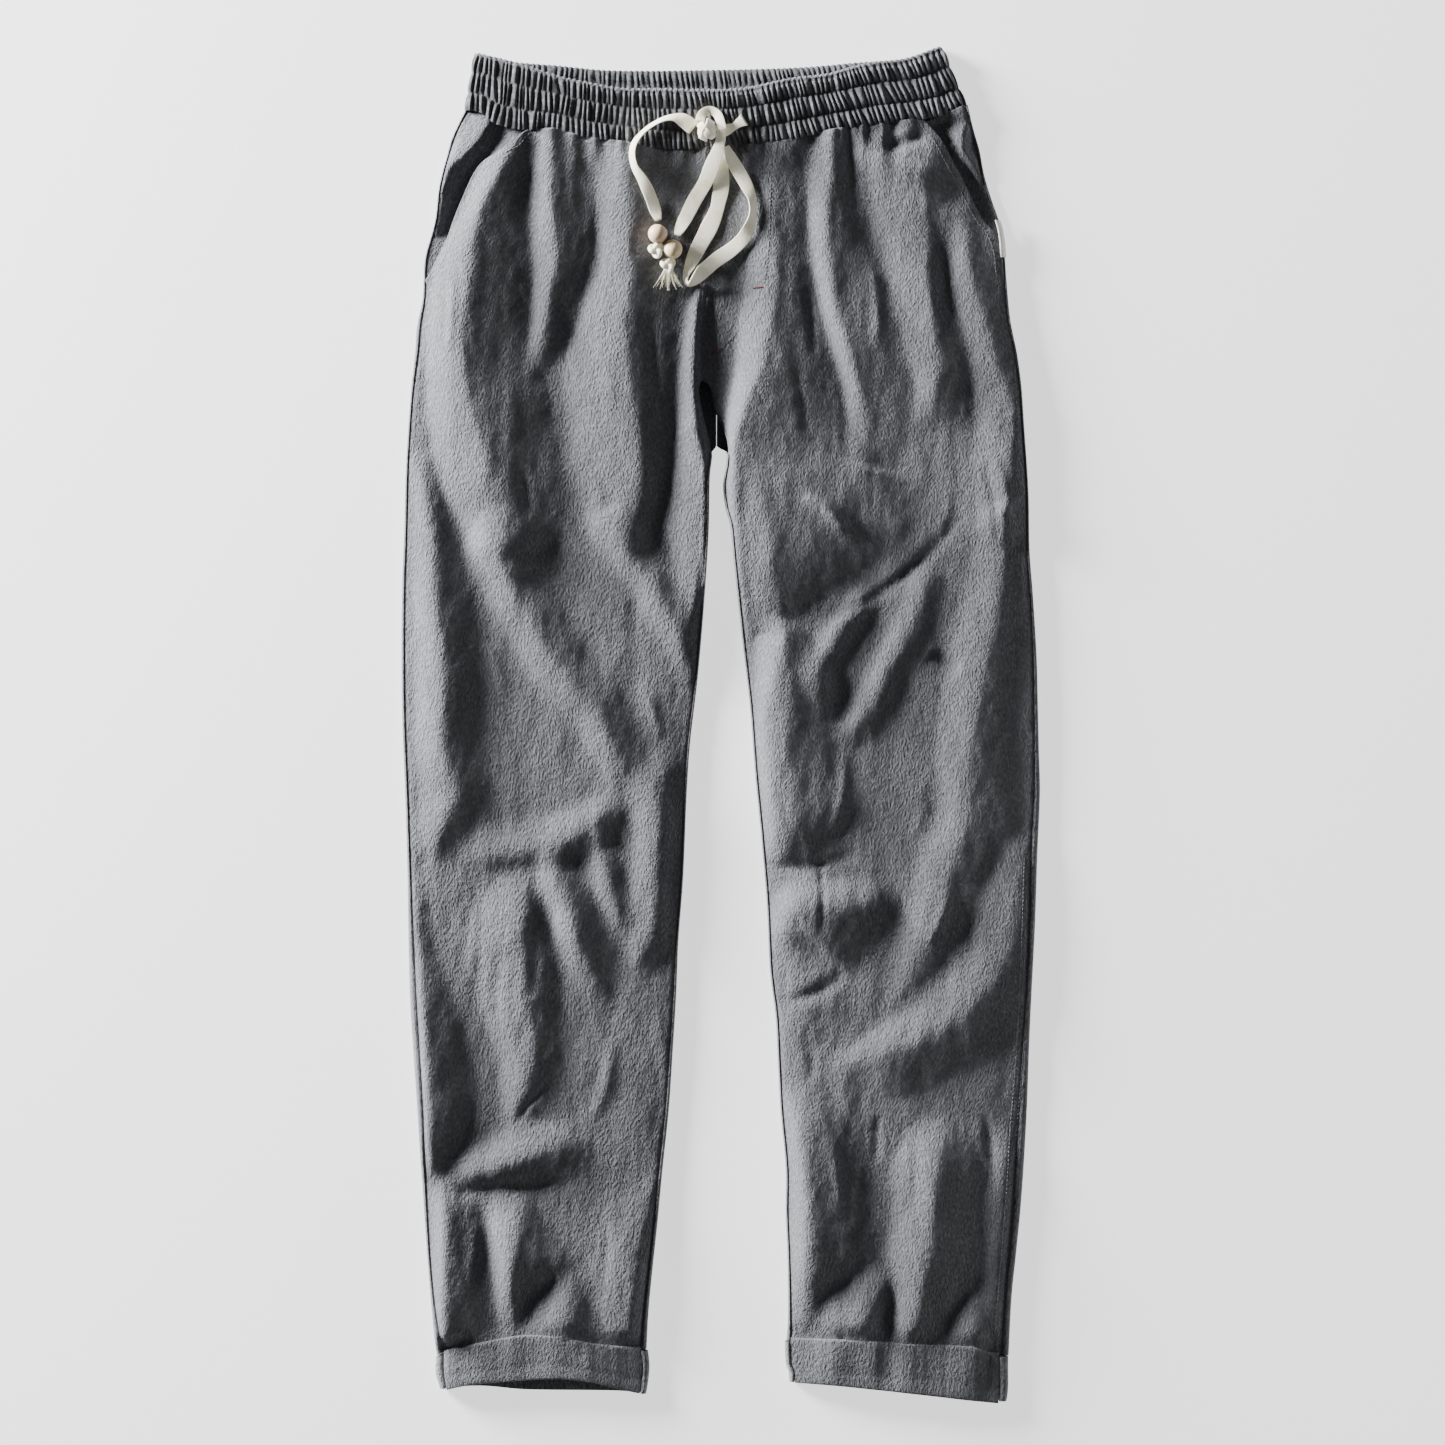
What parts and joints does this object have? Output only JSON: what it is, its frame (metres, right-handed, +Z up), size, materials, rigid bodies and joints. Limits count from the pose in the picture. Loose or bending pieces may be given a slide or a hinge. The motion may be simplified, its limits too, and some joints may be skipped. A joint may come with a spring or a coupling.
{
  "type": "summer trousers",
  "caption": "Loose drawstring trousers laid flat, front up: gathered elastic waist, slant pockets and turned-up cuffs.",
  "frame": {"origin": "middle of the outline, on the surface that the trousers lie on", "axes": "+Y towards the waist, +Z up from the surface, +X towards the wearer's left leg"},
  "size_m": [0.4658, 0.9875, 0.026],
  "materials": {
    "cloth": "washed dark grey linen-cotton weave, slubby and matt",
    "cloth_inside": "inside face and back of the same cloth",
    "tape": "cream herringbone cotton tape, matt",
    "bead": "pale turned wood, smooth and unvarnished",
    "label": "white woven tape, bare"
  },
  "bodies": {
    "root": {"front_leg_right": "cloth", "front_leg_left": "cloth", "back_leg_right": "cloth", "back_leg_left": "cloth", "pocket_facing_right": "cloth", "pocket_facing_left": "cloth", "waistband_front": "cloth", "waistband_back": "cloth_inside", "cuff_front_right": "cloth", "cuff_front_left": "cloth", "cuff_back_right": "cloth_inside", "cuff_back_left": "cloth_inside", "side_label": "label", "drawstring_knot": "tape", "drawstring_loop": "tape", "drawstring_ear": "tape", "drawstring_tail_left": "tape", "drawstring_tail_right": "tape", "end_knot_left": "tape", "end_knot_right": "tape", "bead_left": "bead", "bead_right": "bead"}
  },
  "joints": []
}
